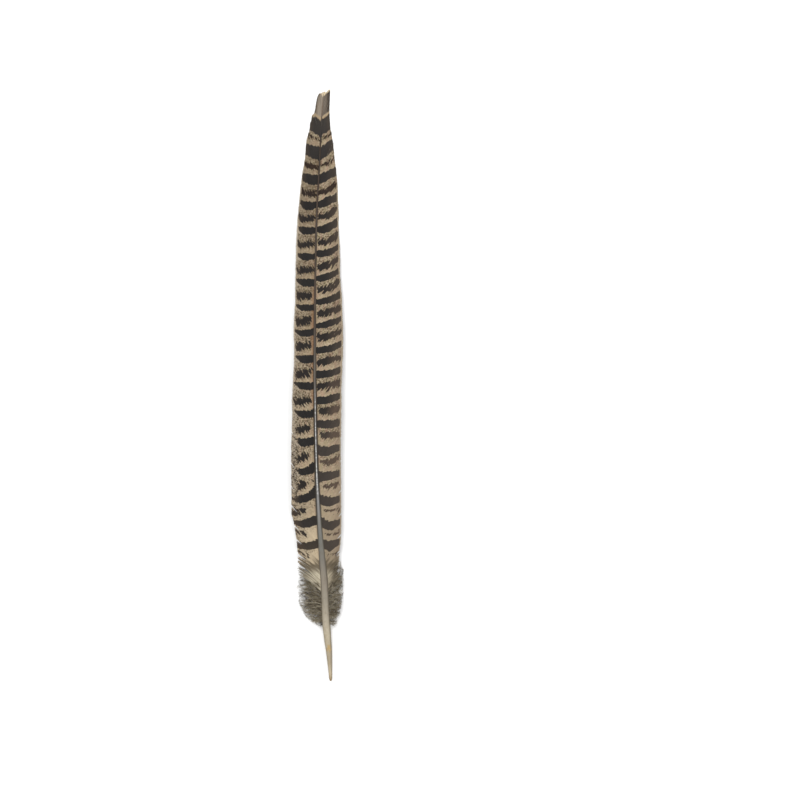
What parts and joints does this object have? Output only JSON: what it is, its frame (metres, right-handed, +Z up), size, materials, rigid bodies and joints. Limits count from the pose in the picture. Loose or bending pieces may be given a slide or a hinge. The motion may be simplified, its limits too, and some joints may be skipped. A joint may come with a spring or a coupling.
{
  "type": "pheasant tail feather",
  "caption": "Long slender barred brown tail feather of a hen pheasant, worn square at the tip, with a bare cream quill and grey down at the foot of the vane, lying flat.",
  "frame": {"origin": "under the middle of the bounding box, on the surface that the feather lies on", "axes": "+Y from the quill end to the tip, +Z up out of the upper face, +X to the right of the upper face with the tip ahead"},
  "size_m": [0.0248, 0.28, 0.0086],
  "materials": {
    "vane": "satin",
    "shaft": "satin",
    "down": "matte"
  },
  "bodies": {
    "root": {"feather": "vane"}
  },
  "joints": []
}
